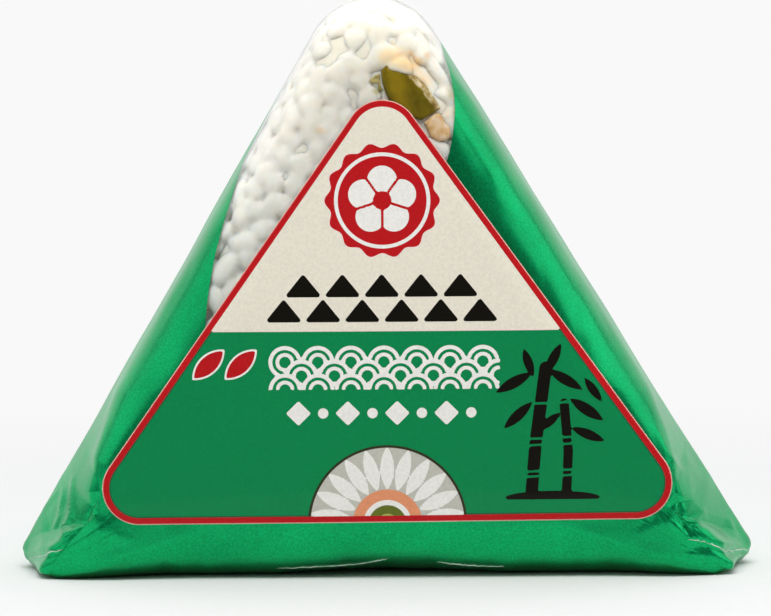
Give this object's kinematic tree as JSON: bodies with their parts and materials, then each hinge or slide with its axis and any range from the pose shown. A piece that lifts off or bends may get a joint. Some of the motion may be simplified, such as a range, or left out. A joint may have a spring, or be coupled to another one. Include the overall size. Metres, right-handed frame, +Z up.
{
  "type": "packed onigiri rice ball",
  "caption": "Triangular rice ball sealed in a printed film pack with a clear window over the rice and a rounded triangular label on the front.",
  "frame": {"origin": "middle of the base, on the surface that the pack stands on", "axes": "+X along the long base towards the right tip, +Y from the labelled front to the back, +Z up to the apex"},
  "size_m": [0.1121, 0.036, 0.0889],
  "materials": {
    "printed_film": "pearly green printed film, glossy",
    "clear_film": "clear film, glossy",
    "label_paper": "glossy printed label",
    "cooked_rice": "moist cooked rice, slightly translucent",
    "green_pepper": "moist pickled green pepper",
    "salmon": "moist cooked salmon"
  },
  "bodies": {
    "root": {"wrapper": "printed_film", "window_film": "clear_film", "label": "label_paper", "back_seam": "printed_film", "rice": "cooked_rice", "pepper_piece": "green_pepper", "pepper_sliver": "green_pepper", "salmon_flake": "salmon"}
  },
  "joints": []
}
